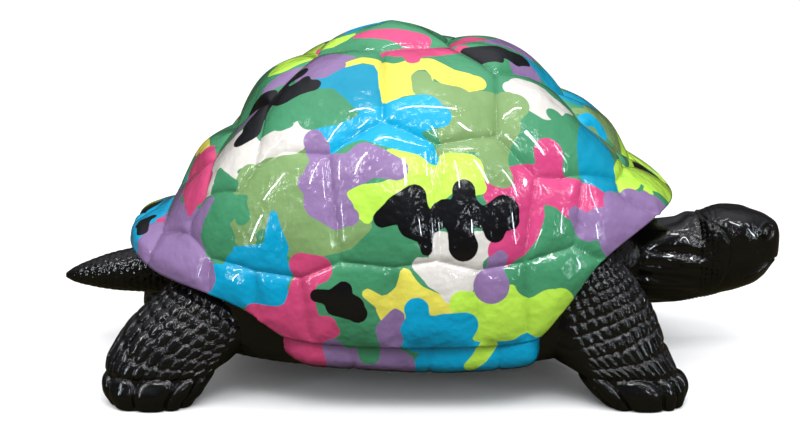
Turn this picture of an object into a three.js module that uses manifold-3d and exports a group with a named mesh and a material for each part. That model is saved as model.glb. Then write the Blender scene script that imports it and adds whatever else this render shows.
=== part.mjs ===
// A walking turtle, life size, moulded in one piece and painted in gloss: a domed shell with raised
// plates over a bridge and belly, a stretched neck, four legs on flat soles and a straight tail.
import * as THREE from 'three';
import { mergeVertices } from 'three/addons/utils/BufferGeometryUtils.js';
import Module from 'manifold-3d';

// Sizes are in mm and angles in degrees. +X is towards the head, +Z is up, the soles are at z = 0,
// and the left and right sides mirror each other in Y.

const shell = {
  middleX: -20, // where the rim is widest
  frontReach: 435, // from there to the front lip
  rearReach: 465.5, // and to the rear lip
  halfWidth: 325,
  squareness: 2.35, // exponent of the rim's superellipse
  apexX: -50,
  apexZ: 547,
  sideSweep: 103, // arc turned by a side meridian, past 90 so that the sides tuck in
  around: 92,
  down: 21,
  // the rim's height along the shell: low over the bridge, lifted over the legs, the neck and the tail
  rim: [
    [-485.5, 222], [-450, 208], [-420, 200], [-352, 189], [-280, 169], [-245, 148], [-210, 128],
    [-150, 121], [0, 117], [120, 118], [170, 123], [215, 165], [275, 236], [346, 277], [390, 292],
    [415, 296],
  ],
  // profiles from crown to lip: share of the reach, share of the drop
  front: [
    [0, 0], [0.22, 0.047], [0.42, 0.166], [0.58, 0.355], [0.72, 0.573], [0.84, 0.79], [0.92, 0.9], [1, 1],
  ],
  rear: [
    [0, 0], [0.24, 0.07], [0.42, 0.218], [0.58, 0.445], [0.7, 0.597], [0.8, 0.767], [0.87, 0.868],
    [0.93, 0.908], [0.975, 0.936], [1, 1],
  ],
};

// The raised plates. A seam is a line of [x, lean], the lean being the angle from the crest about a
// long axis inside the shell.
const plates = {
  axisZ: 120,
  // height of a plate, distance from a seam at which it is reached, exponent of the rise
  crest: { height: 34, reach: 80, steepness: 1.6 },
  side: { height: 9, reach: 64, steepness: 2.4 },
  seams: [
    // crest plates: their edge, and the lines between them
    [[349, 0], [311, 16], [256, 20], [215, 6], [116, 17.4], [46, 6.3], [-64, 10.6], [-173, 4.5],
      [-245, 19.5], [-306, 9], [-326, 13], [-337, 23], [-353, 19.5], [-388, 7], [-410, 0]],
    [[-337, 23], [-341, 33], [-344, 41.5], [-353, 44.5], [-368, 48], [-368, 54]],
    [[240, 0], [215, 6]],
    [[38, 0], [46, 6.3]],
    [[-173, 0], [-173, 4.5]],
    [[-309, 0], [-306, 9]],
    // upper side plates
    [[311, 16], [320, 19], [325, 25], [321, 31], [307, 37.7], [210, 45], [171, 45.5], [112, 36.6],
      [19, 40.5], [-63, 34.7], [-146, 42], [-214, 39.2], [-262, 41.8], [-283, 46.9], [-344, 41.5]],
    [[116, 17.4], [112, 36.6]],
    [[-64, 10.6], [-63, 34.7]],
    [[-245, 19.5], [-262, 41.8]],
    // lower side plates
    [[300, 70], [272, 65.4], [231, 62.3], [154, 67.3], [81, 69.7], [20, 67.5], [-45, 69.1], [-127, 67.6],
      [-187, 71.5], [-257, 69.4], [-331, 64.4], [-368, 54], [-421, 44]],
    [[247, 44.3], [231, 62.3]],
    [[171, 45.5], [154, 67.3]],
    [[19, 40.5], [20, 67.5]],
    [[-146, 42], [-127, 67.6]],
    // edge plates
    [[307, 37.7], [310, 41.5], [318, 43], [400, 46]],
    [[325, 25], [340, 16], [368, 5], [402, 4]],
    [[154, 67.3], [160, 90]],
    [[81, 69.7], [80, 90]],
    [[-45, 69.1], [-44, 90]],
    [[-187, 71.5], [-172, 90]],
    [[-257, 69.4], [-254, 90]],
    [[-331, 64.4], [-335, 80]],
    [[-410, 0], [-417, 12], [-421, 27], [-421, 44], [-440, 62]],
    [[-448, 0], [-464, 4], [-480, 14]],
  ],
};

// The underside of the shell: rings drawn in from the rim as [share of the reach, height above it],
// then a middle point.
const shellUnderside = { rings: [[0.975, -3], [0.93, 0], [0.8, 4]], middleZ: 150 };

// The bridge between the legs and the belly under it, carried along X as a squared oval.
const bridge = {
  around: 36,
  squareness: 4,
  // along, half width, lowest, highest
  stations: [
    [-236, 190, 100, 140], [-226, 255, 88, 150], [-212, 286, 78, 156], [-194, 302, 68, 162],
    [-170, 309, 60, 168], [-120, 310, 55, 174], [-50, 311, 50, 176], [28, 311, 47, 176],
    [90, 311, 50, 175], [130, 310, 54, 173], [160, 306, 58, 170], [173, 296, 63, 166],
    [181, 272, 70, 160], [186, 225, 80, 152], [189, 160, 92, 144],
  ],
};

// The black body inside the shell, which shows under its lips: a plan like the rim's but smaller, and
// a side that is squarer than the plan.
const body = {
  middleX: -20, frontReach: 385, rearReach: 405, halfWidth: 305, squareness: 2.35,
  middleZ: 150, halfHeight: 92, sideSquareness: 6, around: 32, down: 18,
};

// The neck and head, carried along X as ovals: along, lowest, highest, half width.
const head = {
  around: 28,
  squareness: 2.3,
  stations: [
    [300, 100, 232, 60], [384, 97, 237, 64], [425, 97, 240, 62], [448, 100, 247, 61], [465, 103, 246, 60],
    [478, 105, 254, 61], [508, 114, 262, 63], [535, 121, 260, 61], [558, 130, 254, 55], [576, 142, 248, 46],
    [590, 160, 240, 36], [598, 174, 232, 26], [602, 190, 222, 14],
  ],
  eye: { at: [575, 36, 226], radius: 10 },
  mouth: { from: [548, 160], to: [612, 182], thickness: 3, halfWidth: 70, depth: 9 },
};

// Legs are carried up from the sole as ovals: height, rearmost x, foremost x, inner y, outer y.
const leg = { around: 26, squareness: 2.5, toeHeight: 34, toeDepth: 0.07, toes: 5 };
const frontLeg = {
  toeTurn: 0,
  stations: [
    [0, 298, 402, 184, 284], [10, 280, 411, 178, 290], [24, 264, 415, 174, 291],
    [42, 247, 410, 170, 288], [56, 234, 401, 166, 284], [74, 205, 391, 160, 280],
    [106, 172, 379, 145, 272], [139, 160, 367, 130, 264], [170, 155, 349, 120, 256],
    [200, 150, 326, 110, 247], [232, 150, 295, 100, 236], [258, 165, 262, 110, 218],
  ],
};
const hindLeg = {
  toeTurn: 180,
  stations: [
    [0, -480, -370, 184, 284], [10, -493, -362, 180, 289], [24, -501, -349, 176, 290],
    [42, -503, -334, 172, 286], [70, -499, -306, 160, 279], [95, -487, -272, 146, 270],
    [115, -473, -248, 134, 262], [138, -448, -236, 122, 250], [160, -421, -232, 112, 236],
    [182, -392, -236, 108, 216], [198, -360, -250, 112, 196],
  ],
};

// The tail, carried along X as circles: along, middle height, radius.
const tail = {
  around: 18,
  stations: [
    [-380, 156, 45], [-440, 154, 42], [-480, 152, 38], [-519, 149, 32.5], [-564, 145, 21],
    [-590, 142.5, 11.5], [-602, 141.5, 4],
  ],
};

const colours = { paint: 0x4c9c73 };

// Shape helpers.

// A smooth curve through [x, y] pairs that never overshoots them.
function smoothCurve(pairs) {
  const last = pairs.length - 1;
  const steps = pairs.slice(1).map(([x], i) => x - pairs[i][0]);
  const slopes = steps.map((step, i) => (pairs[i + 1][1] - pairs[i][1]) / step);
  const tangents = pairs.map((pair, i) => {
    if (i === 0) return slopes[0];
    if (i === last) return slopes[last - 1];
    if (slopes[i - 1] * slopes[i] <= 0) return 0;
    const before = 2 * steps[i] + steps[i - 1];
    const after = steps[i] + 2 * steps[i - 1];
    return (before + after) / (before / slopes[i - 1] + after / slopes[i]);
  });
  return (x) => {
    let i = 0;
    while (i < last - 1 && x > pairs[i + 1][0]) i += 1;
    const u = THREE.MathUtils.clamp((x - pairs[i][0]) / steps[i], 0, 1);
    const v = 1 - u;
    const ends = pairs[i][1] * (1 + 2 * u) * v * v + pairs[i + 1][1] * (1 + 2 * v) * u * u;
    return ends + steps[i] * u * v * (tangents[i] * v - tangents[i + 1] * u);
  };
}

// A point of a superellipse: an oval that grows squarer with the exponent.
function squaredOval(angle, squareness) {
  const bend = (value) => Math.sign(value) * Math.abs(value) ** (2 / squareness);
  return [bend(Math.cos(angle)), bend(Math.sin(angle))];
}

// The angles of a ring's points.
function turn(count) {
  return Array.from({ length: count }, (_, i) => (2 * Math.PI * i) / count);
}

// A closed skin over rings of equally many points, capped by a point at each end.
function skinOver(rings, firstPoint, lastPoint) {
  const count = rings[0].length;
  const points = [...rings.flat(), firstPoint, lastPoint];
  const first = points.length - 2;
  const last = points.length - 1;
  const lastRing = (rings.length - 1) * count;
  const faces = [];
  for (let i = 0; i < count; i += 1) {
    const next = (i + 1) % count;
    faces.push(first, next, i);
    faces.push(last, lastRing + i, lastRing + next);
    for (let ring = 0; ring < lastRing; ring += count) {
      faces.push(ring + i, ring + next, ring + count + i);
      faces.push(ring + next, ring + count + next, ring + count + i);
    }
  }
  const geometry = new THREE.BufferGeometry().setFromPoints(points);
  geometry.setIndex(faces);
  return geometry;
}

// The middle of a ring's points.
function middleOf(ring) {
  const sum = ring.reduce((total, point) => total.add(point), new THREE.Vector3());
  return sum.divideScalar(ring.length);
}

// The shell.

const rimHeight = smoothCurve(shell.rim);
const frontDrop = smoothCurve(shell.front);
const rearDrop = smoothCurve(shell.rear);

// A point of the rim, at an angle counted from the head.
function rimPoint(angle) {
  const [along, across] = squaredOval(angle, shell.squareness);
  const reach = along > 0 ? shell.frontReach : shell.rearReach;
  const x = shell.middleX + along * reach;
  return new THREE.Vector3(x, across * shell.halfWidth, rimHeight(x));
}

// A point of the smooth dome, a share of the way down a meridian: a round arc on the sides that
// turns into the front and rear profiles.
function domePoint(angle, share) {
  const rim = rimPoint(angle);
  const sweep = THREE.MathUtils.degToRad(shell.sideSweep);
  const frontWeight = Math.max(Math.cos(angle), 0) ** 2;
  const rearWeight = Math.max(-Math.cos(angle), 0) ** 2;
  const sideWeight = 1 - frontWeight - rearWeight;
  const sideOut = Math.sin(share * sweep) / Math.sin(sweep);
  const sideDrop = (1 - Math.cos(share * sweep)) / (1 - Math.cos(sweep));
  const out = sideWeight * sideOut + (frontWeight + rearWeight) * share;
  const drop = sideWeight * sideDrop + frontWeight * frontDrop(share) + rearWeight * rearDrop(share);
  return new THREE.Vector3(
    shell.apexX + (rim.x - shell.apexX) * out,
    rim.y * out,
    shell.apexZ - (shell.apexZ - rim.z) * drop,
  );
}

// The dome's outward direction there.
function domeNormal(angle, share) {
  const step = 0.004;
  const at = Math.min(share, 1 - step);
  const aside = domePoint(angle + step, at).sub(domePoint(angle - step, at));
  const along = domePoint(angle, at + step).sub(domePoint(angle, at - step));
  return along.cross(aside).normalize();
}

// A point's lean from the crest and its distance from the long axis.
function leanOf(point) {
  const up = point.z - plates.axisZ;
  return [Math.atan2(Math.abs(point.y), up), Math.hypot(point.y, up)];
}

// The distance from a point of the dome to the seams and the rim, measured along the surface with
// leans turned into lengths. It is softened, as the sum of all the distances to the power of -4, so
// that plates round off where seams meet.
function seamDistance(point, rim) {
  const [lean, radius] = leanOf(point);
  const here = new THREE.Vector2(point.x, lean * radius);
  let total = Math.max(point.distanceTo(rim), 0.5) ** -4;
  for (const seam of plates.seams) {
    const line = seam.map(([x, angle]) => new THREE.Vector2(x, THREE.MathUtils.degToRad(angle) * radius));
    for (let i = 1; i < line.length; i += 1) {
      const run = line[i].clone().sub(line[i - 1]);
      const offset = here.clone().sub(line[i - 1]);
      const share = THREE.MathUtils.clamp(offset.dot(run) / run.lengthSq(), 0, 1);
      total += Math.max(offset.addScaledVector(run, -share).length(), 0.5) ** -4;
    }
  }
  return total ** -0.25;
}

// Whether a point of the dome is on the plates of the crest, inside their edge.
function onCrest(point) {
  const [lean] = leanOf(point);
  const edge = plates.seams[0];
  const last = edge.findIndex(([x]) => x < point.x);
  if (last < 1) return false;
  const [[x0, lean0], [x1, lean1]] = [edge[last - 1], edge[last]];
  const edgeLean = THREE.MathUtils.mapLinear(point.x, x0, x1, lean0, lean1);
  return THREE.MathUtils.radToDeg(lean) < edgeLean;
}

// How far the plates stand out of the dome: a rounded rise from every seam and from the rim.
function plateRise(point, rim) {
  const { height, reach, steepness } = onCrest(point) ? plates.crest : plates.side;
  const inside = Math.min(seamDistance(point, rim) / reach, 1);
  return height * (1 - (1 - inside) ** steepness);
}

function makeShell() {
  const angles = turn(shell.around);
  const rings = [];
  for (let i = 1; i <= shell.down; i += 1) {
    const share = i / shell.down;
    rings.push(angles.map((angle) => {
      const point = domePoint(angle, share);
      return point.addScaledVector(domeNormal(angle, share), plateRise(point, rimPoint(angle)));
    }));
  }
  for (const [reach, above] of shellUnderside.rings) {
    rings.push(angles.map((angle) => {
      const rim = rimPoint(angle);
      const x = THREE.MathUtils.lerp(shell.middleX, rim.x, reach);
      return new THREE.Vector3(x, rim.y * reach, rim.z + above);
    }));
  }
  const crown = domePoint(0, 0);
  const apex = crown.setZ(crown.z + plateRise(crown, rimPoint(0)));
  return skinOver(rings, apex, new THREE.Vector3(shell.middleX, 0, shellUnderside.middleZ));
}

// The bridge, belly and body.

function makeBridge() {
  const rings = bridge.stations.map(([x, halfWidth, low, high]) => turn(bridge.around).map((angle) => {
    const [across, up] = squaredOval(angle, bridge.squareness);
    return new THREE.Vector3(x, across * halfWidth, (low + high) / 2 + (up * (high - low)) / 2);
  }));
  return skinOver(rings, middleOf(rings[0]), middleOf(rings.at(-1)));
}

function makeBody() {
  const place = (x, y, up) => new THREE.Vector3(body.middleX + x, y, body.middleZ + up * body.halfHeight);
  const rings = [];
  for (let i = 1; i < body.down; i += 1) {
    const [up, out] = squaredOval((Math.PI * i) / body.down, body.sideSquareness);
    rings.push(turn(body.around).map((angle) => {
      const [along, across] = squaredOval(angle, body.squareness);
      const reach = along > 0 ? body.frontReach : body.rearReach;
      return place(along * reach * out, across * body.halfWidth * out, up);
    }));
  }
  return skinOver(rings, place(0, 0, 1), place(0, 0, -1));
}

// The head and neck.

function makeHead() {
  const rings = head.stations.map(([x, low, high, halfWidth]) => turn(head.around).map((angle) => {
    const [across, up] = squaredOval(angle, head.squareness);
    return new THREE.Vector3(x, across * halfWidth, (low + high) / 2 + (up * (high - low)) / 2);
  }));
  return skinOver(rings, middleOf(rings[0]), middleOf(rings.at(-1)));
}

function makeEye(side) {
  const [x, y, z] = head.eye.at;
  return new THREE.SphereGeometry(head.eye.radius, 12, 8).translate(x, side * y, z);
}

// The slot of the mouth, cut in from the front and the sides.
function makeMouth() {
  const { from, to, thickness, halfWidth } = head.mouth;
  const run = Math.hypot(to[0] - from[0], to[1] - from[1]);
  const slot = new THREE.BoxGeometry(run, 2 * halfWidth, thickness);
  slot.rotateY(-Math.atan2(to[1] - from[1], to[0] - from[0]));
  return slot.translate((from[0] + to[0]) / 2, 0, (from[1] + to[1]) / 2);
}

// The same head, smaller all round, that the mouth's slot stops at.
function makeMouthFloor() {
  const { depth } = head.mouth;
  const rings = head.stations.map(([x, low, high, halfWidth]) => turn(head.around).map((angle) => {
    const [across, up] = squaredOval(angle, head.squareness);
    const halfHeight = Math.max((high - low) / 2 - depth, 1);
    const half = Math.max(halfWidth - depth, 1);
    return new THREE.Vector3(x - depth, across * half, (low + high) / 2 + up * halfHeight);
  }));
  return skinOver(rings, middleOf(rings[0]), middleOf(rings.at(-1)));
}

// The legs and tail.

// A leg on one side, its foot's front edge notched into toes near the sole.
function makeLeg(shape, side) {
  const toeTurn = THREE.MathUtils.degToRad(shape.toeTurn);
  const rings = shape.stations.map(([z, rear, fore, inner, outer]) => turn(leg.around).map((angle) => {
    const [along, across] = squaredOval(angle, leg.squareness);
    const ahead = Math.max(Math.cos(angle - toeTurn), 0);
    const low = 1 - THREE.MathUtils.smoothstep(z, 0, leg.toeHeight);
    const notch = 1 - leg.toeDepth * low * ahead * (1 - Math.cos(leg.toes * 2 * (angle - toeTurn))) / 2;
    const x = (rear + fore) / 2 + (along * notch * (fore - rear)) / 2;
    const y = (inner + outer) / 2 + (across * notch * (outer - inner)) / 2;
    return new THREE.Vector3(x, side * y, z);
  }));
  return skinOver(rings, middleOf(rings[0]), middleOf(rings.at(-1)));
}

function makeTail() {
  const rings = tail.stations.map(([x, middle, radius]) => turn(tail.around).map((angle) => (
    new THREE.Vector3(x, radius * Math.cos(angle), middle + radius * Math.sin(angle)))));
  return skinOver(rings, middleOf(rings[0]), middleOf(rings.at(-1)));
}

// Joining.

const wasm = await Module();
wasm.setup();

// A closed mesh as a solid, its faces turned outwards first.
function solidFrom(geometry) {
  const bare = geometry.clone();
  bare.deleteAttribute('normal');
  bare.deleteAttribute('uv');
  const merged = mergeVertices(bare);
  const triVerts = [];
  const corners = merged.index.array;
  for (let i = 0; i < corners.length; i += 3) {
    const [a, b, c] = corners.slice(i, i + 3);
    if (a !== b && b !== c && c !== a) triVerts.push(a, b, c);
  }
  const vertProperties = new Float32Array(merged.attributes.position.array);
  if (signedVolume(vertProperties, triVerts) < 0) triVerts.reverse();
  return new wasm.Manifold(new wasm.Mesh({
    numProp: 3, vertProperties, triVerts: new Uint32Array(triVerts),
  }));
}

function signedVolume(positions, triVerts) {
  const corner = (index) => new THREE.Vector3().fromArray(positions, 3 * index);
  let volume = 0;
  for (let i = 0; i < triVerts.length; i += 3) {
    volume += corner(triVerts[i]).cross(corner(triVerts[i + 1])).dot(corner(triVerts[i + 2])) / 6;
  }
  return volume;
}

function geometryFrom(solid) {
  const { vertProperties, triVerts } = solid.getMesh();
  const geometry = new THREE.BufferGeometry();
  geometry.setAttribute('position', new THREE.BufferAttribute(new Float32Array(vertProperties), 3));
  geometry.setIndex(Array.from(triVerts));
  geometry.computeVertexNormals();
  return geometry;
}

const mouthCut = solidFrom(makeMouth()).subtract(solidFrom(makeMouthFloor()));
const headSolid = solidFrom(makeHead()).subtract(mouthCut);

const pieces = [
  makeBridge(), makeBody(), makeTail(),
  makeEye(1), makeEye(-1),
  makeLeg(frontLeg, 1), makeLeg(frontLeg, -1),
  makeLeg(hindLeg, 1), makeLeg(hindLeg, -1),
];
const turtleSolid = pieces.reduce(
  (whole, piece) => whole.add(solidFrom(piece)),
  solidFrom(makeShell()).add(headSolid),
);

const turtle = new THREE.Mesh(
  geometryFrom(turtleSolid),
  new THREE.MeshStandardMaterial({ color: colours.paint, roughness: 0.2, metalness: 0 }),
);
turtle.name = 'turtle';

const model = new THREE.Group();
model.add(turtle);

export default model;
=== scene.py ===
import math

import bpy
import numpy as np
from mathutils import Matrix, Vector


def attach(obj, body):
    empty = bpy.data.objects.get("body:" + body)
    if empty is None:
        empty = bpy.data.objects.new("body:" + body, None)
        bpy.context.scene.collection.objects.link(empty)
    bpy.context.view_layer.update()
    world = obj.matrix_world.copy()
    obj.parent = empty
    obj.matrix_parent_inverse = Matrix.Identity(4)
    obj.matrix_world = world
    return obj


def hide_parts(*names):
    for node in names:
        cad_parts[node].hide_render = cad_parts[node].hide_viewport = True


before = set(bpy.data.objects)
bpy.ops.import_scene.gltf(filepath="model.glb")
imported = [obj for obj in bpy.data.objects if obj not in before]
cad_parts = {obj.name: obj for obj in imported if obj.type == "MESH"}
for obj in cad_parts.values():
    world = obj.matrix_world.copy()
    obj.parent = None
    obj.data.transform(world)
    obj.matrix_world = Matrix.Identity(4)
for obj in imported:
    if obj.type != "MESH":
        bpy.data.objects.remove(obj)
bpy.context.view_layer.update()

mm = 0.001
print("frame loaded")


# monotone cubic through stations of any number of columns: each span blends its two end values and
# slopes, the slope at a station is the weighted harmonic mean of its neighbours, and it is level
# where they differ in sign, so nothing overshoots
def smoothTable(x, stations):
    table = np.array(stations, float)
    xs, ys = table[:, 0], table[:, 1:]
    step = np.diff(xs)[:, None]
    slope = np.diff(ys, axis=0) / step
    before, after = slope[:-1], slope[1:]
    weightBefore = 2 * step[1:] + step[:-1]
    weightAfter = step[1:] + 2 * step[:-1]
    same = before * after > 0
    safeBefore = np.where(same, before, 1.0)
    safeAfter = np.where(same, after, 1.0)
    mean = (weightBefore + weightAfter) / (weightBefore / safeBefore + weightAfter / safeAfter)
    tangent = np.concatenate([slope[:1], np.where(same, mean, 0.0), slope[-1:]])
    span = np.clip(np.searchsorted(xs, x, side="right") - 1, 0, len(xs) - 2)
    u = np.clip((x - xs[span]) / step[span, 0], 0, 1)[..., None]
    v = 1 - u
    ends = ys[span] * (1 + 2 * u) * v * v + ys[span + 1] * (1 + 2 * v) * u * u
    return ends + step[span] * u * v * (tangent[span] * v - tangent[span + 1] * u)


def smoothCurve(x, stations):
    return smoothTable(x, stations)[..., 0]


# rises from 0 to 1 between two values as 3u^2 - 2u^3
def smoothStep(x, low, high):
    u = np.clip((x - low) / (high - low), 0, 1)
    return u * u * (3 - 2 * u)


# a superellipse: each of cosine and sine is raised to 2 / squareness and keeps its sign
def squaredOval(angle, squareness):
    def bend(value):
        return np.sign(value) * np.abs(value) ** (2 / squareness)
    return bend(np.cos(angle)), bend(np.sin(angle))


# a full turn in equal steps, without its end
def fullTurn(count):
    return np.linspace(0, 2 * math.pi, count, endpoint=False)


# outward directions of a grid whose rows are closed rings: the cross product of the steps along
# and around it
def outwardOf(grid):
    along = np.gradient(grid, axis=0)
    around = np.roll(grid, -1, 1) - np.roll(grid, 1, 1)
    normal = np.cross(around, along)
    normal /= np.maximum(np.linalg.norm(normal, axis=-1, keepdims=True), 1e-12)
    spokes = grid - grid.mean(axis=1, keepdims=True)
    return normal * np.sign(np.sum(normal * spokes))


# rises from 0 to 1 over the first span and falls back to 0 over the second
def riseAndFall(x, first, second):
    return smoothStep(x, *first) * (1 - smoothStep(x, *second))


# a bell curve: e to the power of minus the square of the distance over the width
def bell(x, place, width):
    return np.exp(-((x - place) / width) ** 2)


# how many waves, the fewest and most turns of one in a length, and the sum that counts as 1
waves = {"count": 6, "turns": (0.7, 1.4), "height": 3.5}


# soft rolling noise, mostly in -1..1: a sum of sine waves in seeded directions, the length in metres
def rolling(points, length, seed):
    draw = np.random.default_rng(seed)
    total = np.zeros(points.shape[:-1])
    for _ in range(waves["count"]):
        direction = draw.normal(size=3)
        turns = draw.uniform(*waves["turns"])
        direction *= turns * 2 * math.pi / length / np.linalg.norm(direction)
        total += np.sin(points @ direction + draw.uniform(0, 2 * math.pi))
    return total / waves["height"]


# a closed mesh from a grid of rings with a pole at each end, its faces turned outwards
def meshFromGrid(name, grid, firstPole, lastPole, values=None):
    rows, columns = grid.shape[:2]
    points = np.concatenate([grid.reshape(-1, 3), [firstPole, lastPole]])
    ring = np.arange(columns)
    after = (ring + 1) % columns
    start = (np.arange(rows - 1) * columns)[:, None]
    quads = np.stack([start + ring, start + after, start + columns + after, start + columns + ring], -1)
    first = np.stack([np.full(columns, rows * columns), after, ring], -1)
    endRing = (rows - 1) * columns
    last = np.stack([np.full(columns, rows * columns + 1), endRing + ring, endRing + after], -1)
    quads = quads.reshape(-1, 4)
    corner = points - points.mean(axis=0)
    volume = np.sum(np.cross(corner[quads[:, 0]], corner[quads[:, 1]]) * corner[quads[:, 2]])
    faces = quads.tolist() + first.tolist() + last.tolist()
    if volume < 0:
        faces = [face[::-1] for face in faces]
    mesh = bpy.data.meshes.new(name)
    mesh.from_pydata(points, [], faces)
    mesh.polygons.foreach_set("use_smooth", np.ones(len(mesh.polygons), bool))
    for label, field in (values or {}).items():
        ends = [field[0].mean(), field[-1].mean()]
        stored = mesh.attributes.new(label, "FLOAT", "POINT")
        stored.data.foreach_set("value", np.concatenate([field.ravel(), ends]).astype(np.float32))
    mesh.update()
    piece = bpy.data.objects.new(name, mesh)
    bpy.context.scene.collection.objects.link(piece)
    return piece


def finishPiece(piece, material):
    piece.data.materials.append(material)
    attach(piece, "root")
    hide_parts("turtle")


# metres, degrees and the lens in mm
camera = {"target": (-0.036, 0, 0.24), "elevation": 14, "distance": 3.0, "lens": 80.2}

studio = {
    "floorSize": 40, "floorRoughness": 0.9,
    "floor": (0.97, 0.97, 0.97),  # the floor that the camera sees
    # the floor that all other light meets, which lights the turtle from below and is mirrored in it:
    # a dark showroom's
    "darkFloor": (0.042, 0.036, 0.018),
    # the sky by the sine of its elevation: the light it gives, and a darker one that gloss mirrors
    "soft": [(0, (0.45, 0.45, 0.45)), (0.3, (1.08, 1.08, 1.08)), (1, (1.1, 1.1, 1.12))],
    "mirrored": [
        (0, (0.03, 0.028, 0.02)), (0.35, (0.03, 0.03, 0.035)),
        (0.65, (0.13, 0.14, 0.16)), (1, (0.5, 0.5, 0.54)),
    ],
}


def makeCamera():
    data = bpy.data.cameras.new("camera")
    data.lens = camera["lens"]
    eye = bpy.data.objects.new("camera", data)
    tilt = math.radians(camera["elevation"])
    target = Vector(camera["target"])
    back = Vector((0, -math.cos(tilt), math.sin(tilt)))
    eye.location = target + back * camera["distance"]
    eye.rotation_euler = (math.pi / 2 - tilt, 0, 0)
    bpy.context.scene.collection.objects.link(eye)
    bpy.context.scene.camera = eye


# one colour or socket for one kind of ray, and another for all the rest
def byRay(nodes, links, kind, other, seen):
    ray = nodes.new("ShaderNodeLightPath")
    mix = nodes.new("ShaderNodeMix")
    mix.data_type = "RGBA"
    for socket, colour in (("A", other), ("B", seen)):
        if isinstance(colour, tuple):
            mix.inputs[socket].default_value = (*colour, 1)
        else:
            links.new(colour, mix.inputs[socket])
    links.new(ray.outputs[kind], mix.inputs["Factor"])
    return mix.outputs["Result"]


# a colour by the sine of the elevation of the direction looked in
def skyRamp(nodes, links, stops):
    place = nodes.new("ShaderNodeTexCoord")
    split = nodes.new("ShaderNodeSeparateXYZ")
    links.new(place.outputs["Generated"], split.inputs["Vector"])
    ramp = nodes.new("ShaderNodeValToRGB")
    elements = ramp.color_ramp.elements
    while len(elements) < len(stops):
        elements.new(0.5)
    for element, (height, colour) in zip(elements, stops):
        element.position = height
        element.color = (*colour, 1)
    links.new(split.outputs["Z"], ramp.inputs["Fac"])
    return ramp.outputs["Color"]


def makeStage():
    bpy.ops.mesh.primitive_plane_add(size=studio["floorSize"], location=(0, 0, 0))
    floor = bpy.context.object
    floor.name = "floor"
    material = bpy.data.materials.new("floor")
    material.use_nodes = True
    nodes, links = material.node_tree.nodes, material.node_tree.links
    shader = nodes["Principled BSDF"]
    shader.inputs["Roughness"].default_value = studio["floorRoughness"]
    shader.inputs["Specular IOR Level"].default_value = 0.0
    colour = byRay(nodes, links, "Is Camera Ray", studio["darkFloor"], studio["floor"])
    links.new(colour, shader.inputs["Base Color"])
    floor.data.materials.append(material)
    world = bpy.data.worlds.new("studio")
    world.use_nodes = True
    nodes, links = world.node_tree.nodes, world.node_tree.links
    soft, mirrored = skyRamp(nodes, links, studio["soft"]), skyRamp(nodes, links, studio["mirrored"])
    links.new(byRay(nodes, links, "Is Glossy Ray", soft, mirrored), nodes["Background"].inputs["Color"])
    bpy.context.scene.world = world
    bpy.context.scene.view_settings.view_transform = "Standard"


lamps = {
    # place, point aimed at, width and length, watts, colour
    "tubeFarLeft": ((-1.9, -1.3, 2.1), (0, 0, 0.3), (0.07, 0.9), 6, (1, 1, 1)),
    "tubeLeft": ((-0.9, -1.5, 2.5), (0, 0, 0.3), (0.07, 0.9), 7, (1, 1, 1)),
    "tubeMiddle": ((0.2, -1.9, 2.4), (0, 0, 0.3), (0.07, 0.9), 7, (0.95, 0.98, 1)),
    "tubeRight": ((1.1, -1.4, 2.3), (0, 0, 0.3), (0.07, 0.9), 7, (0.95, 0.98, 1)),
    "tubeFarRight": ((2.0, -1.1, 1.9), (0, 0, 0.2), (0.07, 0.9), 6, (0.85, 0.93, 1)),
    "tubeOverhead": ((0.1, -0.5, 2.7), (0, 0, 0.3), (1.3, 0.06), 7, (1, 1, 1)),
    "lowTubeLeft": ((-2.1, -1.8, 0.9), (0, 0, 0.2), (0.05, 0.9), 6, (0.8, 0.9, 1)),
    "lowTubeRight": ((2.3, -1.8, 0.9), (0.2, 0, 0.2), (0.05, 0.9), 6, (0.8, 0.9, 1)),
    "lowTubeFront": ((0.9, -2.9, 1.2), (0.2, 0, 0.1), (0.03, 0.5), 3, (0.85, 0.93, 1)),
    "softBox": ((0.1, -2.4, 3.0), (0, -0.2, 0), (2.6, 1.4), 42, (1, 1, 1)),
}


def makeLamps():
    for name, (place, aim, size, watts, colour) in lamps.items():
        data = bpy.data.lights.new(name, "AREA")
        data.shape = "RECTANGLE"
        data.size, data.size_y = size
        data.energy = watts
        data.color = colour
        lamp = bpy.data.objects.new(name, data)
        lamp.location = place
        lamp.visible_glossy = name != "softBox"  # of the lamps, the gloss mirrors only the tubes
        lamp.rotation_euler = (Vector(aim) - Vector(place)).to_track_quat("-Z", "Y").to_euler()
        bpy.context.scene.collection.objects.link(lamp)


makeCamera()
makeStage()
makeLamps()
print("camera, floor and lamps made")


# the shell's shape, in mm and degrees
shell = {
    "middleX": -20, "frontReach": 435, "rearReach": 465.5, "halfWidth": 325, "squareness": 2.35,
    "apexX": -50, "apexZ": 547,
    "sideSweep": 103,  # arc turned by a side meridian, past 90 so that the sides tuck in
    # height of the rim by x
    "rim": [
        (-485.5, 222), (-450, 208), (-420, 200), (-352, 189), (-280, 169), (-245, 148), (-210, 128),
        (-150, 121), (0, 117), (120, 118), (170, 123), (215, 165), (275, 236), (346, 277), (390, 292),
        (415, 296),
    ],
    # profiles from crown to lip: share of the reach, share of the drop
    "front": [
        (0, 0), (0.22, 0.047), (0.42, 0.166), (0.58, 0.355), (0.72, 0.573), (0.84, 0.79), (0.92, 0.9),
        (1, 1),
    ],
    "rear": [
        (0, 0), (0.24, 0.07), (0.42, 0.218), (0.58, 0.445), (0.7, 0.597), (0.8, 0.767), (0.87, 0.868),
        (0.93, 0.908), (0.975, 0.936), (1, 1),
    ],
    "underside": [(0.975, -3), (0.93, 0), (0.8, 4)],  # share of the reach, height above the rim
    "undersideZ": 150,
    "underCoat": 0.01,  # the underside counts as this far inside the black paint, in metres
    "around": 520, "down": 184,
}

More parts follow.
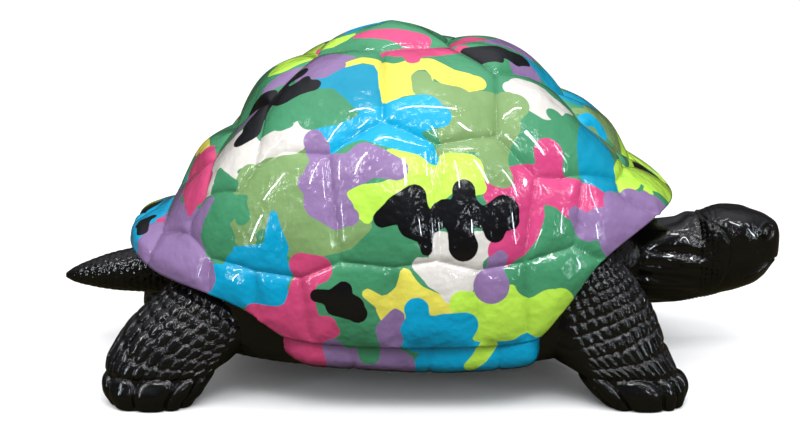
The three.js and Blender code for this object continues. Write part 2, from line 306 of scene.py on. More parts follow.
# seams between the raised plates: lines of (x, lean), the lean counted from the crest
plates = {
    "axisZ": 120,
    # height of a plate, distance from a seam at which it is reached, exponent of the rise
    "crest": (34, 80, 1.6), "side": (9, 64, 2.4),
    "grooveDepth": 3.2, "grooveWidth": 2.6,
    "grooveFade": 8,  # grooves fade out within this distance of the rim
    "least": 0.5,  # soft distances count no seam or rim as closer than this
    "pull": 10,  # grid lines within this of a seam are drawn in to it
    "seams": [
        # crest plates: their edge, and the lines between them
        [(349, 0), (311, 16), (256, 20), (215, 6), (116, 17.4), (46, 6.3), (-64, 10.6), (-173, 4.5),
         (-245, 19.5), (-306, 9), (-326, 13), (-337, 23), (-353, 19.5), (-388, 7), (-410, 0)],
        [(-337, 23), (-341, 33), (-344, 41.5), (-353, 44.5), (-368, 48), (-368, 54)],
        [(240, 0), (215, 6)],
        [(38, 0), (46, 6.3)],
        [(-173, 0), (-173, 4.5)],
        [(-309, 0), (-306, 9)],
        # upper side plates
        [(311, 16), (320, 19), (325, 25), (321, 31), (307, 37.7), (210, 45), (171, 45.5), (112, 36.6),
         (19, 40.5), (-63, 34.7), (-146, 42), (-214, 39.2), (-262, 41.8), (-283, 46.9), (-344, 41.5)],
        [(116, 17.4), (112, 36.6)],
        [(-64, 10.6), (-63, 34.7)],
        [(-245, 19.5), (-262, 41.8)],
        # lower side plates
        [(300, 70), (272, 65.4), (231, 62.3), (154, 67.3), (81, 69.7), (20, 67.5), (-45, 69.1),
         (-127, 67.6), (-187, 71.5), (-257, 69.4), (-331, 64.4), (-368, 54), (-421, 44)],
        [(247, 44.3), (231, 62.3)],
        [(171, 45.5), (154, 67.3)],
        [(19, 40.5), (20, 67.5)],
        [(-146, 42), (-127, 67.6)],
        # edge plates
        [(307, 37.7), (310, 41.5), (318, 43), (400, 46)],
        [(325, 25), (340, 16), (368, 5), (402, 4)],
        [(154, 67.3), (160, 90)],
        [(81, 69.7), (80, 90)],
        [(-45, 69.1), (-44, 90)],
        [(-187, 71.5), (-172, 90)],
        [(-257, 69.4), (-254, 90)],
        [(-331, 64.4), (-335, 80)],
        [(-410, 0), (-417, 12), (-421, 27), (-421, 44), (-440, 62)],
        [(-448, 0), (-464, 4), (-480, 14)],
    ],
}


# a point of the rim: a superellipse in plan, its height read along x
def rimPoint(angle):
    along, across = squaredOval(angle, shell["squareness"])
    reach = np.where(along > 0, shell["frontReach"], shell["rearReach"])
    x = shell["middleX"] + along * reach
    return x, across * shell["halfWidth"], smoothCurve(x, shell["rim"])


# the smooth dome: each meridian is a share of an arc on the sides and of the front or rear profile
# at the ends, weighted by the square of the angle's cosine
def domePoint(angle, share):
    x, y, z = rimPoint(angle)
    sweep = math.radians(shell["sideSweep"])
    frontWeight = np.clip(np.cos(angle), 0, 1) ** 2
    rearWeight = np.clip(-np.cos(angle), 0, 1) ** 2
    sideWeight = 1 - frontWeight - rearWeight
    sideOut = np.sin(share * sweep) / math.sin(sweep)
    sideDrop = (1 - np.cos(share * sweep)) / (1 - math.cos(sweep))
    out = sideWeight * sideOut + (frontWeight + rearWeight) * share
    frontDrop, rearDrop = smoothCurve(share, shell["front"]), smoothCurve(share, shell["rear"])
    drop = sideWeight * sideDrop + frontWeight * frontDrop + rearWeight * rearDrop
    apexX, apexZ = shell["apexX"], shell["apexZ"]
    return np.stack([apexX + (x - apexX) * out, y * out, apexZ - (apexZ - z) * drop], -1)


# lean from the crest in degrees, positive on the right side, and the distance from the long axis
def leanOf(points):
    up = points[..., 2] - plates["axisZ"]
    return np.degrees(np.arctan2(-points[..., 1], up)), np.hypot(points[..., 1], up)


# distance to the nearest seam, the step to it, and a soft distance, the fourth root of one over the
# sum of each line's distance to the power of -4; leans become lengths at the point's own distance
# from the axis
def nearestSeam(points):
    lean, radius = leanOf(points)
    side = np.abs(np.radians(lean)) * radius
    nearest = np.full(side.shape, np.inf)
    step = np.zeros((*side.shape, 2))
    total = np.zeros(side.shape)
    for seam in plates["seams"]:
        for (x0, lean0), (x1, lean1) in zip(seam[:-1], seam[1:]):
            side0, side1 = math.radians(lean0) * radius, math.radians(lean1) * radius
            runX, runSide = x1 - x0, side1 - side0
            offX, offSide = points[..., 0] - x0, side - side0
            share = np.clip((offX * runX + offSide * runSide) / (runX ** 2 + runSide ** 2), 0, 1)
            toX, toSide = share * runX - offX, share * runSide - offSide
            distance = np.hypot(toX, toSide)
            closer = distance < nearest
            nearest = np.where(closer, distance, nearest)
            step = np.where(closer[..., None], np.stack([toX, toSide], -1), step)
            total += np.maximum(distance, plates["least"]) ** -4
    return nearest, step, total ** -0.25


# draws the grid in to the seams: a point closer than the pull moves along the surface until its
# distance is that distance squared over the pull
def drawToSeams(points, normal):
    distance, step, _ = nearestSeam(points)
    lean, radius = leanOf(points)
    turn = np.radians(lean)
    sideways = np.stack([0 * turn, -np.cos(turn), -np.sin(turn)], -1) * np.sign(lean)[..., None]
    toward = step[..., :1] * np.array([1.0, 0, 0]) + step[..., 1:] * sideways
    toward -= normal * np.sum(toward * normal, -1, keepdims=True)
    toward /= np.maximum(np.linalg.norm(toward, axis=-1, keepdims=True), 1e-9)
    wanted = np.where(distance < plates["pull"], distance ** 2 / plates["pull"], distance)
    return points + toward * (distance - wanted)[..., None], wanted


# how far the plates stand out: a rounded rise with the soft distance from the seams and the rim,
# less a groove that falls off exponentially from the seam
def plateRise(points, softDistance, seamDistance, rimDistance):
    lean, _ = leanOf(points)
    edgeX, edgeLean = np.array(plates["seams"][0])[::-1].T
    crest = np.abs(lean) < np.interp(points[..., 0], edgeX, edgeLean, left=0, right=0)
    height, reach, steepness = [np.where(crest, a, b) for a, b in zip(plates["crest"], plates["side"])]
    soft = (softDistance ** -4 + np.maximum(rimDistance, plates["least"]) ** -4) ** -0.25
    groove = plates["grooveDepth"] * np.exp(-seamDistance / plates["grooveWidth"])
    groove *= smoothStep(rimDistance, 0, plates["grooveFade"])
    return height * (1 - (1 - np.clip(soft / reach, 0, 1)) ** steepness) - groove


emeraldTint = (0.055, 0.27, 0.13)
limeTint = (0.5, 0.83, 0.08)

# the camouflage, from the first layer of paint to the last: each colour's tint and its strokes of
# round dabs (x, lean, radius), in cm and degrees
camouflage = {
    # the cyan paint again, mixed darker for its strokes high on the shell: painted shade that offsets the
    # brighter light on top
    "skyBlue": ((0, 0.29, 0.46), [
        [(-15.6, 23, 1.5), (-13.2, 22.5, 2.2), (-10.5, 22, 2.8), (-8.6, 22.5, 3.2), (-8, 28, 3.2),
         (-7, 32, 2.6)],
        [(-12.5, 25.5, 1.2), (-10.5, 28.5, 1.4), (-9.2, 31, 1.4)],
        [(17.4, 5, 0.9), (19.3, 4.5, 1.4), (21, 3.5, 2), (22.4, 2, 2.6)],
        [(23.2, 2, 2.6), (24.8, 5, 3), (26.6, -1, 3.4), (28.4, -6, 2.4)],
        [(27.4, 21.5, 2), (27.2, 30.5, 3), (27.2, 36, 3.4), (27.1, 40.5, 3.2), (29.4, 39.5, 2)],
        [(-12, 1, 0.8), (-9.3, -1, 1.8), (-6.3, -2, 2)], [(-39.2, 8, 1.5), (-38.3, 17, 0.8)],
    ]),
    "yellow": ((0.77, 0.7, 0.1), [
        [(-12, 18, 0.7), (-9.5, 16.5, 0.9), (-7, 17, 1), (-5.5, 20, 1.6), (-4.9, 25, 2), (-5.2, 28.5, 1.3)],
        [(-3.9, 21, 2), (-1.4, 19, 1.6), (1, 18.5, 1.6), (4, 22.5, 2.2), (6.5, 23.5, 2.4), (8.3, 23, 1.6)],
        [(-3, 24.5, 1.5), (0, 24.5, 1.5)], [(-4.2, 27, 1.6), (-1.6, 26.5, 1.6)],
        [(-36.4, 2, 1.2), (-35.7, 10, 0.9)],
        [(-8.5, 75.5, 0.8), (-6.7, 77.5, 1), (-5.5, 79, 1.7), (-3.7, 77.5, 2)],
        [(-6.2, 82, 0.3), (-5.7, 80, 1)],
        [(-2.8, 70.5, 0.9), (-2.5, 73.5, 1.6), (-1.4, 77, 2.4), (1.4, 78, 1.8), (3.6, 79, 1.4)],
        [(-2.5, 80, 1), (-2.5, 83, 0.3)],
    ]),
    "white": ((0.68, 0.65, 0.61), [
        [(-33.7, 41.5, 0.5), (-33.3, 37.5, 0.7), (-31.6, 32.5, 1.3), (-29.6, 35, 2.6), (-26.6, 37, 2.3),
         (-23.5, 37.5, 2.6), (-20.5, 38, 2.4), (-18.5, 37, 1.5)],
        [(-19.4, 35.5, 1.2), (-19.5, 33.5, 0.4)],
        [(-33.5, 38, 0.8), (-32.4, 30.5, 1.4), (-30.9, 27.5, 1.6), (-29.2, 27.5, 1.6), (-27.6, 33, 1.8)],
        [(-30.6, 39, 1.8), (-30, 43, 1.2), (-28.5, 43.5, 1)],
        [(13.7, 22.5, 1.2), (15.6, 21.5, 2.2), (17.6, 22.5, 3), (19.3, 24.5, 3), (21.4, 23, 1.6),
         (23, 22.5, 0.8)],
        [(16.4, 27, 1.6), (18.8, 29, 1.4)], [(14.2, 23.5, 1.4), (16, 24.5, 1.6)],
        [(2.5, 64, 2.2), (5, 67, 2.6), (8.1, 64, 2.2), (8.9, 62.5, 1.3)],
        [(-0.6, 68.5, 1.2), (2.1, 71, 2.2), (5, 73, 2.6), (7, 70, 2)], [(4, 76, 1.2)],
    ]),
    "rose": ((0.62, 0.058, 0.2), [
        [(9.5, 49, 1.6), (11.5, 50, 2.5), (14.1, 48, 2.6), (15.6, 46, 2.2), (17.5, 47.5, 2.2),
         (20, 48.5, 2.6), (23, 48.5, 2.6), (26, 48.5, 2.2), (28.4, 49, 1.6), (30.5, 47.5, 0.7)],
        [(22.5, 51.5, 2.2), (27, 51, 2)],
        [(15.6, 51, 2.4), (16, 55, 2.4), (15, 59, 2.6), (13.3, 62, 2.8), (11.8, 65, 2.2), (11.7, 67, 1)],
        [(11, 52, 2)], [(19.2, 39.5, 2.3), (19.3, 44, 2)],
    ]),
    "sage": ((0.2, 0.335, 0.125), [
        [(-28.3, 45.5, 1.2), (-26.9, 42.8, 1.8), (-26.7, 45, 2.2), (-23.5, 45, 3.2), (-21.4, 45, 3),
         (-21.3, 54, 3), (-21.3, 60.5, 2.5), (-18, 62.5, 3), (-14.8, 62.5, 2.2), (-11.6, 62, 1.8),
         (-9, 59.5, 1.2)],
        [(-23.9, 50, 3), (-25, 54.5, 2.4), (-28, 58, 2), (-26.9, 61, 1.5)],
        [(-18.5, 42.5, 1.8), (-18.4, 52.5, 2.6), (-16.9, 57.5, 2.6), (-13, 60.5, 2)],
        [(-0.3, 23.5, 1.6), (-0.1, 27, 1.6)],
        [(2, 27.5, 2), (5, 29.5, 3), (7, 32.5, 3.6), (9.5, 30, 3.4), (12.5, 29, 3.2), (14.1, 28.5, 2.4)],
        [(12, 34, 3), (11, 38, 2.4), (10.5, 42, 2.4), (10.9, 46.5, 2.2)], [(4.1, 38, 2), (7, 39.5, 1.8)],
        [(2.5, 42.5, 1), (6.1, 40.5, 1.2)], [(12, 47.5, 1.6)],
        [(25, 14, 0.9), (27, 13, 1.4), (29.3, 9, 3), (31.4, 6, 3.4), (33.2, 3, 2.6)],
        [(27.5, 20, 2), (29.5, 22, 2)],
    ]),
    "lime": (limeTint, [
        [(-11.2, 52.5, 1.3), (-9, 53.5, 2.2), (-6.1, 53.5, 2.3), (-3.1, 51.5, 2.2)],
        [(-9.1, 56.5, 1.2), (-8.5, 58, 0.8)],
        [(-5, 43.5, 0.9), (-2, 45, 1.5), (0.5, 48, 2.2), (0.9, 52, 2.2), (2.1, 50, 2.5), (4, 47, 3),
         (6.5, 46.5, 2.6), (7, 49.5, 2.2), (8.3, 50.5, 1.2)],
        [(-0.6, 50.5, 1.8), (1.5, 55.5, 1.5)],
        [(35.6, 0, 3.4), (37.5, 12, 3.6), (36, 28, 2.4), (33.4, 27, 2.2), (32.3, 34.5, 2.2),
         (31.7, 39, 1.4)],
        [(37.4, 24, 3), (40, 26, 2.6), (41.5, 8, 3), (39.5, -12, 3.4)], [(36, 36, 0.9)],
        [(-24.2, 6.5, 0.9), (-22.6, 5, 2.4), (-20.2, 2, 3), (-18.6, -1.5, 2.8)],
        [(-23.2, -2, 1.8), (-20.6, -6, 2.6), (-18.8, -9, 2.6)],
        [(-16.9, 1, 1.1), (-14.2, 3, 1.1), (-12.4, 3.4, 0.8), (-11.2, 3.2, 0.4)],
        [(5.8, 78, 2), (8.6, 79.5, 2.6), (10.4, 82, 3.6), (13.4, 81.5, 3.4), (16.4, 83.5, 3.2),
         (19.5, 80.5, 3.4), (20.8, 78.5, 2.4)],
        [(13.2, 74.5, 0.8), (13.3, 78, 1.6)], [(9.4, 86, 2.2), (13, 86, 2.2)],
    ]),
    "cyan": ((0, 0.36, 0.62), [
        [(-7.6, 35, 2.6), (-3.9, 33.5, 2.8), (0, 33, 3.2), (2.3, 34, 2)],
        [(-15, 37, 1.8), (-14.1, 40, 1.3), (-12, 37.5, 1.8), (-9, 36.5, 2), (-6.1, 38, 2.4),
         (-3.1, 39.5, 2.3), (0, 41.5, 1.6), (1.3, 44, 1)],
        [(-41.4, -15, 3), (-44.6, 5, 3.4), (-45.4, 24, 3.2), (-46.6, 38, 2.8), (-46.4, 50, 1.6)],
        [(25.8, 17.5, 1), (27.4, 14.5, 1.2), (28.8, 15, 1.2)],
        [(-22.8, 55.5, 0.6), (-22.8, 59, 1.2), (-22.4, 64, 2)],
        [(-28.5, 66, 2), (-24.4, 67, 2.6), (-22.5, 70, 2.5)],
        [(-33.2, 74, 1.8), (-32, 71, 2.2), (-28, 74, 3), (-23.9, 74, 3), (-21.8, 77, 1.8)],
        [(-30.1, 78.5, 1.4)], [(-1.1, 79.5, 1.9), (-0.8, 82, 1.6)],
        [(-2.5, 85.5, 1.9), (0, 86, 2.4), (3.1, 84.5, 2.4), (6.1, 84, 2.2), (5.1, 87, 2.2),
         (-1.5, 88.5, 2)],
        [(15.5, 89.5, 1.4)], [(0.5, 97, 2.2), (4, 95, 3.5), (9, 95, 3.5), (14, 95, 3.5), (19, 95, 3.5)],
    ]),
    "lilac": ((0.265, 0.165, 0.35), [
        [(-40.2, 22, 1.6), (-41, 32, 2), (-41, 42, 2.6), (-40, 50, 3), (-38, 57, 4), (-36, 64, 3.4),
         (-34.6, 71, 2.6)],
        [(-44, 50, 2), (-43, 58, 3.2), (-38.5, 68, 2.6)], [(-43.6, 38, 1.2), (-43, 45, 1.6)],
        [(-38, 42, 2), (-37.6, 48, 2.4)], [(-33.4, 46, 0.9), (-34.6, 48.5, 1.4), (-36.4, 52.5, 1.8)],
        [(-4.1, 47, 1.8), (-7, 45.5, 2.4), (-9.2, 43.5, 2.2), (-9.6, 46.5, 2.5)],
        [(-12, 47, 3), (-14.9, 46.5, 3.2), (-17.3, 48.5, 1.8)],
        [(-15, 53, 3.2), (-13, 56, 2.5), (-11, 57.5, 1.3)], [(-16.9, 38, 1.5), (-16.1, 40.5, 1.8)],
        [(23.5, 54, 1.4), (25.1, 57, 2), (27.5, 55, 2.4)],
        [(30, 48, 2.2), (31.9, 50.5, 3.4), (30.9, 55.5, 3), (29.7, 60, 2.6)],
        [(33.5, 44.5, 2.8), (35.9, 46.5, 3.4), (37, 42.5, 2.6), (34.6, 41, 0.9), (35.5, 38.5, 0.9)],
        [(33.9, 52, 3)], [(10.2, 73.5, 2.75)], [(10.9, 68, 1.4), (11.6, 66.5, 1.1)],
        [(-24.8, 14, 1), (-22.2, 11.5, 1.6), (-19.4, 11, 2), (-16.4, 13.5, 2.2), (-13.4, 15, 1.6),
         (-11.5, 15.3, 0.8)],
        [(-18.4, 18.5, 1.8), (-15.7, 19.3, 1.8), (-13.2, 18, 1.1)],
        [(-26.4, 19.5, 1.2), (-28, 21, 1), (-29.6, 23, 0.7)],
        [(11.2, 4, 1.2), (13.9, 2.5, 2), (16.2, 0.5, 2.4), (17.6, -1, 1.6)],
        [(15.3, 12, 1.4), (17.8, 8.5, 1.6), (18.6, 9, 1)],
        [(-4.2, 81.5, 1.3), (-5.5, 85, 1.8), (-5, 88, 1.9)],
        [(-14.2, 91.5, 2.2), (-13.5, 97, 3), (-11, 97, 3), (-7, 96, 3), (-4, 97, 2.8)],
    ]),
    "pink": ((0.63, 0.065, 0.19), [
        [(-35.4, 13, 1.6), (-35.7, 20, 2.4), (-36, 28, 2.8), (-36, 35, 2.3), (-36.3, 40, 1.6),
         (-36.8, 45, 0.5)],
        [(-38, 8, 1.4), (-37.4, 18, 1.6)], [(-34.4, 35, 1.2), (-35, 41, 0.9)], [(-42.7, 32, 0.8)],
        [(-18.7, 68, 1.7), (-15.9, 69.5, 2.1)], [(-18.3, 74, 2), (-18.7, 79, 2.4)],
        [(-26.1, 81, 1.3), (-22.4, 83, 2.2), (-18.8, 83, 3), (-16, 86, 1.8)],
        [(-14.7, 84, 1.6), (-13.9, 85.5, 1.2)], [(-20, 92, 2.6), (-19, 98, 3)],
        [(-17.4, 91, 1.8), (-17, 97, 2.2)],
        [(-10.7, 4.4, 0.5), (-9, 5, 1), (-6.6, 5.8, 1.3), (-3, 6.6, 1.7), (0.2, 6.2, 1.3)],
        [(-5.7, 12.3, 1.1), (-3.6, 13, 1.9), (0.4, 13.2, 1.9), (4, 11, 1.8), (6.3, 8, 1.2)],
        [(-1.6, 14.5, 1.4), (-1.6, 17, 1.2)], [(5.2, 4.6, 1), (7.6, 3, 1.4), (9.8, 3, 0.8)],
        [(-17, -5, 1), (-14.6, -1, 1), (-12.4, -0.4, 0.6)],
    ]),
    "limeOver": (limeTint, [
        [(9.9, 90, 1.4), (8.7, 94, 1.2), (7.2, 97, 1)], [(36, -14, 3), (39.5, -18, 3.4), (41.8, -8, 2)],
    ]),
    "emerald": (emeraldTint, [
        [(-31.5, 51.5, 1.8), (-28.3, 51, 1.2), (-27.6, 55, 1.2)],
        [(-32.2, 56.5, 2.4), (-31.4, 60.5, 2.6), (-31.6, 63, 1.6)],
        [(-32, 36.3, 0.4), (-31.8, 39.5, 1), (-31, 43, 1.5), (-29.4, 44.6, 0.9)],
        [(-24.9, 28.5, 1.6), (-23.1, 29.5, 1.5), (-21.6, 31.5, 1.9)],
        [(-17.1, 32.5, 2.2), (-14, 32, 2.5), (-12.3, 32.5, 1.6)], [(20.5, 28.5, 1.4)],
        [(-8.5, 90, 1.9), (-8.3, 93.5, 1.6)],
    ]),
    "black": ((0.004, 0.004, 0.005), [
        [(-28.1, 29.6, 1.7), (-27, 29.4, 1.7), (-26.6, 25, 1.8), (-25.2, 22.5, 1.7), (-24.2, 19.5, 1.6),
         (-22.6, 21.5, 1.8), (-21.5, 23.5, 2), (-19.8, 23, 1.9), (-17.2, 23.5, 1.3)],
        [(-22.8, 18.5, 1), (-21.3, 17, 1.4), (-19.6, 16.5, 1.5)],
        [(-23.8, 16.2, 0.5), (-25.6, 16, 0.8), (-27.4, 14, 0.7), (-29, 13, 0.4)], [(-18.5, 20.5, 0.8)],
        [(-47.6, -12, 1.4), (-46.4, -14, 1.3), (-45.4, -12, 1)],
        [(-46.3, 31, 0.6), (-45.6, 28, 1.1), (-44.4, 25, 0.8)], [(-45.6, 33, 1.1), (-45.4, 41, 1)],
        [(-16.2, 76, 1), (-13.8, 76.5, 1.2), (-12.1, 74.5, 1.3)],
        [(-13.5, 79, 1.3), (-10.9, 79, 2), (-10, 80.5, 1.5)],
        [(-6.2, 58, 1.4), (-3.8, 56, 2.2), (-1.4, 53, 1.8), (-1.6, 59, 2.4), (0.1, 62, 1.3),
         (0.4, 65, 0.9)],
        [(1.5, 58.5, 1.4), (3, 56, 1.8), (5, 57.5, 2.4), (7, 56, 1.6), (8.3, 57.5, 1.5), (10.3, 57, 1.9),
         (12.3, 55, 2.2), (12.7, 57, 1.8)],
        [(6, 51.5, 1.75), (6.2, 54.5, 1.7), (7, 56, 1.6)], [(5.6, 62, 2), (5.9, 64, 2.25)],
        [(10.3, 58, 1.6), (10.6, 60.5, 1.6)],
        [(7, 9, 1), (8.8, 10, 1.7), (10.6, 9.5, 1.5), (12.4, 9, 1.8), (14.4, 9, 1.6), (16.5, 6.5, 1)],
        [(9.4, 12.5, 1), (12, 12.5, 1)], [(35.2, 10, 0.6), (37, 4, 1.2), (38.6, 6, 1.8), (39.8, 6, 1.4)],
    ]),
}

camouflageLook = {
    "ground": emeraldTint,  # what everything is painted over
    "softJoin": 0.9,  # cm over which strokes of one colour run together
    "edge": 0.0005,  # half the width of a painted edge, in metres
    "turnedAbout": -3,  # the left side's strokes are turned end for end about this x, in cm
    "crestReach": 12,  # the left side's strokes end this far short of the crest, in degrees
}


# distance to each colour's edge, negative inside: the least distance to its tapered strokes, with
# strokes that nearly meet run together. The left side is painted with the same strokes, mirrored and
# turned end for end. They end short of the crest, and the right side's own strokes run over it
def paintFields(points):
    lean, radius = leanOf(points)
    centimetre = 10
    x = points[..., 0] / centimetre
    radius = radius / centimetre
    turn = np.radians(lean)
    pastCrest = np.maximum((turn + math.radians(camouflageLook["crestReach"])) * radius, 0)
    soft = camouflageLook["softJoin"]
    turned = 2 * camouflageLook["turnedAbout"]
    fields = {}
    for colour, (_, strokes) in camouflage.items():
        field = np.full(x.shape, np.inf)
        for side in (1, -1):
            for stroke in strokes:
                nearest = np.full(x.shape, np.inf)
                ends = list(zip(stroke[:-1], stroke[1:])) or [(stroke[0], stroke[0])]
                for (x0, lean0, r0), (x1, lean1, r1) in ends:
                    if side < 0:
                        x0, lean0, x1, lean1 = turned - x0, -lean0, turned - x1, -lean1
                    run = np.stack([np.full(x.shape, x1 - x0), math.radians(lean1 - lean0) * radius], -1)
                    off = np.stack([x - x0, (turn - math.radians(lean0)) * radius], -1)
                    length = np.maximum(np.sum(run * run, -1), 1e-6)
                    share = np.clip(np.sum(run * off, -1) / length, 0, 1)
                    gap = np.linalg.norm(off - run * share[..., None], axis=-1)
                    nearest = np.minimum(nearest, gap - (r0 + (r1 - r0) * share))
                if side < 0:
                    nearest = nearest + pastCrest
                blend = np.clip(soft - np.abs(field - nearest), 0, None) / soft
                field = np.minimum(field, nearest) - blend ** 2 * soft / 4
        fields[colour] = field * centimetre * mm
    return fields


def newMaterial(name):
    material = bpy.data.materials.new(name)
    material.use_nodes = True
    tree = material.node_tree
    return material, tree.nodes, tree.links, tree.nodes["Principled BSDF"]


def noiseNode(nodes, links, scale, detail):
    place = nodes.new("ShaderNodeTexCoord")
    noise = nodes.new("ShaderNodeTexNoise")
    noise.inputs["Scale"].default_value = scale
    noise.inputs["Detail"].default_value = detail
    links.new(place.outputs["Object"], noise.inputs["Vector"])
    return noise.outputs["Fac"]


def remap(nodes, links, value, fromLow, fromHigh, toLow, toHigh):
    node = nodes.new("ShaderNodeMapRange")
    settings = {"From Min": fromLow, "From Max": fromHigh, "To Min": toLow, "To Max": toHigh}
    for socket, number in settings.items():
        node.inputs[socket].default_value = number
    links.new(value, node.inputs["Value"])
    return node.outputs["Result"]


noiseSpan = (0.3, 0.7)  # the part of a noise's range that is spread over a setting's


# a setting that a noise, given by scale and detail, varies between two values
def vary(nodes, links, noise, low, high):
    return remap(nodes, links, noiseNode(nodes, links, *noise), *noiseSpan, low, high)


# bumps chained one into the next: (scale, detail, distance in metres)
def addBumps(nodes, links, shader, bumps):
    previous = None
    for scale, detail, distance in bumps:
        bump = nodes.new("ShaderNodeBump")
        bump.inputs["Distance"].default_value = distance
        links.new(noiseNode(nodes, links, scale, detail), bump.inputs["Height"])
        if previous:
            links.new(previous, bump.inputs["Normal"])
        previous = bump.outputs["Normal"]
    links.new(previous, shader.inputs["Normal"])


# a clear coat over uneven roughness and shallow bumps
def addGloss(nodes, links, shader, look):
    links.new(vary(nodes, links, look["roughNoise"], *look["roughness"]), shader.inputs["Roughness"])
    shader.inputs["Coat Weight"].default_value = look["coat"]
    shader.inputs["Coat Roughness"].default_value = look["coatRoughness"]
    addBumps(nodes, links, shader, look["bumps"])


glossPaint = {
    "tone": (0.86, 1.08), "toneNoise": (9, 3),  # brushed-on unevenness of the colour
    "roughness": (0.1, 0.22), "roughNoise": (18, 2),
    "coat": 1.0, "coatRoughness": 0.03,
    "bumps": [(26, 2, 0.006), (140, 2, 0.0006)],
}


# each colour laid over the ones before it, inside its own edge
def makeCamouflagePaint():
    material, nodes, links, shader = newMaterial("camouflagePaint")
    colour = None
    edge = camouflageLook["edge"]
    for name, (tint, _) in camouflage.items():
        stored = nodes.new("ShaderNodeAttribute")
        stored.attribute_name = name
        inside = remap(nodes, links, stored.outputs["Fac"], -edge, edge, 1, 0)
        mix = nodes.new("ShaderNodeMix")
        mix.data_type = "RGBA"
        mix.inputs["A"].default_value = (*camouflageLook["ground"], 1)
        mix.inputs["B"].default_value = (*tint, 1)
        if colour:
            links.new(colour, mix.inputs["A"])
        links.new(inside, mix.inputs["Factor"])
        colour = mix.outputs["Result"]
    shade = nodes.new("ShaderNodeVectorMath")
    shade.operation = "SCALE"
    links.new(colour, shade.inputs[0])
    links.new(vary(nodes, links, glossPaint["toneNoise"], *glossPaint["tone"]), shade.inputs["Scale"])
    links.new(shade.outputs["Vector"], shader.inputs["Base Color"])
    addGloss(nodes, links, shader, glossPaint)
    return material


blackGloss = {
    "dark": (0.002, 0.002, 0.002), "light": (0.005, 0.0045, 0.004), "toneNoise": (30, 4),
    "roughness": (0.06, 0.14), "roughNoise": (45, 3),
    "coat": 1.0, "coatRoughness": 0.03,
    "bumps": [(38, 2, 0.004), (300, 2, 0.0004)],
}


def makeBlackGloss():
    material, nodes, links, shader = newMaterial("blackGloss")
    mix = nodes.new("ShaderNodeMix")
    mix.data_type = "RGBA"
    mix.inputs["A"].default_value = (*blackGloss["dark"], 1)
    mix.inputs["B"].default_value = (*blackGloss["light"], 1)
    links.new(noiseNode(nodes, links, *blackGloss["toneNoise"]), mix.inputs["Factor"])
    links.new(mix.outputs["Result"], shader.inputs["Base Color"])
    addGloss(nodes, links, shader, blackGloss)
    return material


camouflagePaint = makeCamouflagePaint()
blackSkin = makeBlackGloss()
print("paints mixed")


# the dome with its plates, then a few rings inside the rim for the underside, which is black
def makeShell():
    angle = np.linspace(-math.pi, math.pi, shell["around"], endpoint=False)
    share = np.linspace(0, 1, shell["down"] + 1)[1:]
    dome = domePoint(*np.meshgrid(angle, share))
    normal = outwardOf(dome)
    dome, seamDistance = drawToSeams(dome, normal)
    rimDistance = np.linalg.norm(dome - dome[-1], axis=-1)
    softDistance = nearestSeam(dome)[2]
    dome = dome + normal * plateRise(dome, softDistance, seamDistance, rimDistance)[..., None]
    x, y, z = rimPoint(angle)
    middle = shell["middleX"]
    under = [
        np.stack([middle + (x - middle) * reach, y * reach, z + above], -1)
        for reach, above in shell["underside"]
    ]
    grid = np.concatenate([dome, np.array(under)])
    values = paintFields(grid)
    values["black"][len(dome) + 1:] = -shell["underCoat"]
    apex = dome[0].mean(axis=0) * mm
    below = np.array([middle, 0, shell["undersideZ"]]) * mm
    piece = meshFromGrid("carapace", grid * mm, apex, below, values)
    finishPiece(piece, camouflagePaint)


bridge = {
    "squareness": 4, "rows": 150, "around": 240,
    # along, half width, lowest, highest
    "stations": [
        (-236, 190, 100, 140), (-226, 255, 88, 150), (-212, 286, 78, 156), (-194, 302, 68, 162),
        (-170, 309, 60, 168), (-120, 310, 55, 174), (-50, 311, 50, 176), (28, 311, 47, 176),
        (90, 311, 50, 175), (130, 310, 54, 173), (160, 306, 58, 170), (173, 296, 63, 166),
        (181, 272, 70, 160), (186, 225, 80, 152), (189, 160, 92, 144),
    ],
    "seams": [-107, 10, 117], "grooveDepth": 3, "grooveWidth": 3.5,
}


# a squared oval carried along x, with a groove across it at each seam
def makeBridge():
    first, last = bridge["stations"][0][0], bridge["stations"][-1][0]
    x = np.linspace(first, last, bridge["rows"])
    halfWidth, low, high = smoothTable(x, bridge["stations"]).T
    across, up = squaredOval(fullTurn(bridge["around"]), bridge["squareness"])
    seamed = sum(np.exp(-np.abs(x - seam) / bridge["grooveWidth"]) for seam in bridge["seams"])
    groove = seamed * bridge["grooveDepth"]
    y = across * (halfWidth - groove)[:, None]
    z = ((low + high) / 2)[:, None] + up * ((high - low) / 2 - groove)[:, None]
    grid = np.stack([np.broadcast_to(x[:, None], y.shape), y, z], -1)
    ends = grid[0].mean(axis=0) * mm, grid[-1].mean(axis=0) * mm
    piece = meshFromGrid("bridgeAndBelly", grid * mm, *ends, paintFields(grid))
    finishPiece(piece, camouflagePaint)


makeShell()
makeBridge()
print("shell and bridge made")


# share of the way round each ring, by length along it
def aroundShare(grid):
    edges = np.linalg.norm(np.roll(grid, -1, 1) - grid, axis=-1)
    run = np.cumsum(edges, axis=1) - edges
    return run / np.sum(edges, axis=1, keepdims=True)


scaleShape = {
    "groove": 0.34,  # how much farther the second centre is where a scale reaches its full height
    "fall": 1.3,  # how much a scale falls away from its centre
    "level": 0.6,  # the height that counts as level
    # the numbers that scatter the centres
    "rowLabel": 57.31, "columnLabel": 131.7, "nextLabel": 11.3,
    "rowScatter": 43758.5, "columnScatter": 24634.6,
}


